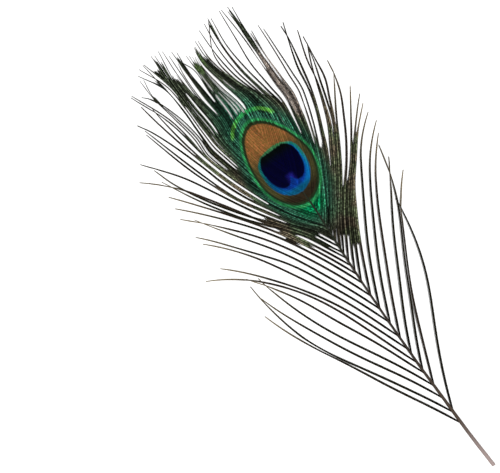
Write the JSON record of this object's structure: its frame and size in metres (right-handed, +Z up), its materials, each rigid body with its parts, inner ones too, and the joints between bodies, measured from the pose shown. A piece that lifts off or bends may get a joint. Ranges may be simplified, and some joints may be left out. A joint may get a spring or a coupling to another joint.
{
  "type": "peacock feather",
  "caption": "Peacock eye feather lying flat: a slender bare quill, a dense vane with the blue and bronze eye, and long loose barbs that fan out on both sides.",
  "frame": {"origin": "middle of the bounding box, on the surface the feather lies on", "axes": "+Y runs from the quill's cut end to the tips of the barbs, +Z points up out of the face that shows the eye, and +X points to the right of that face"},
  "size_m": [0.113, 0.2568, 0.0075],
  "materials": {
    "feather": "matte dark olive-brown barbs"
  },
  "bodies": {
    "root": {"feather": "feather"}
  },
  "joints": []
}
